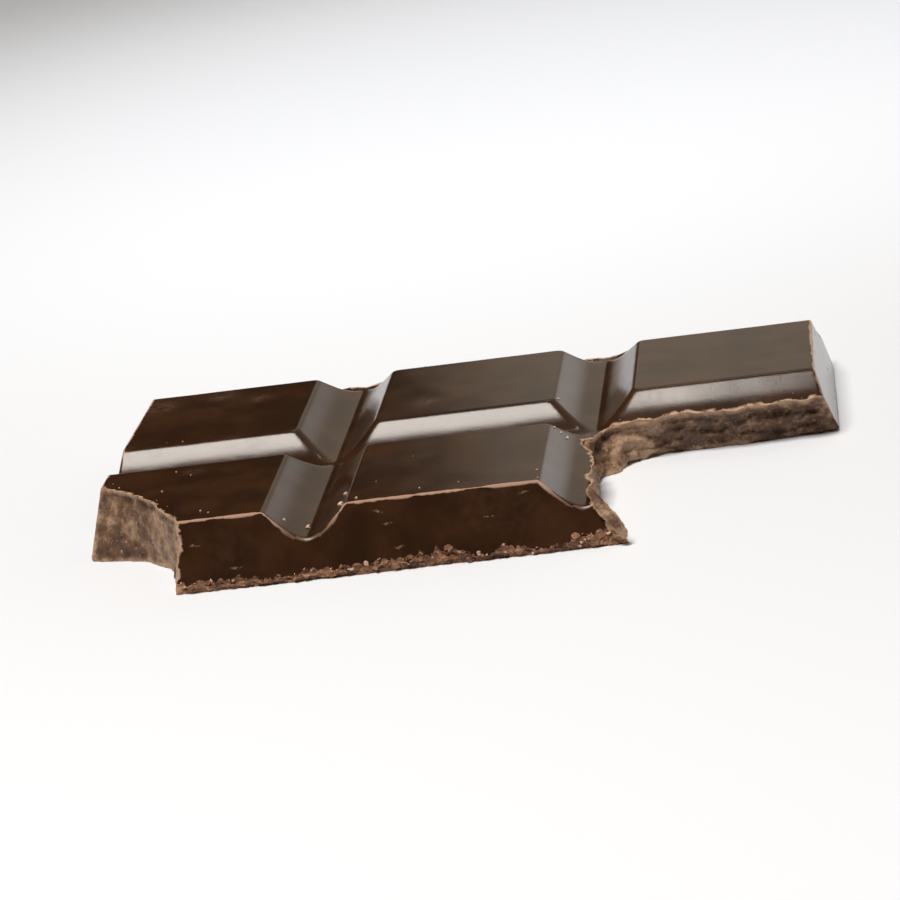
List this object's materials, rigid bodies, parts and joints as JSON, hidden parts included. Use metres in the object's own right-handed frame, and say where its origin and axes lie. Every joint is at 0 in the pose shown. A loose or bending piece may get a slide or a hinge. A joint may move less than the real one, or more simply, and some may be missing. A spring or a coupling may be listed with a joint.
{
  "type": "chocolate bar",
  "caption": "Broken end of a moulded dark chocolate bar: drafted squares between V-grooves, rough broken faces, a missing square and corner, flat back.",
  "frame": {"origin": "centre of the bounding box seen from above, at the flat back that the piece lies on", "axes": "+X across the bar along a row of squares, +Y from the moulded end wall towards the broken edge, +Z out of the flat back towards the squares"},
  "size_m": [0.0762, 0.0532, 0.007],
  "materials": {
    "dark_chocolate": "tempered dark chocolate, satin gloss where moulded, matt and granular where broken"
  },
  "bodies": {
    "root": {"chocolate_bar": "dark_chocolate"}
  },
  "joints": []
}
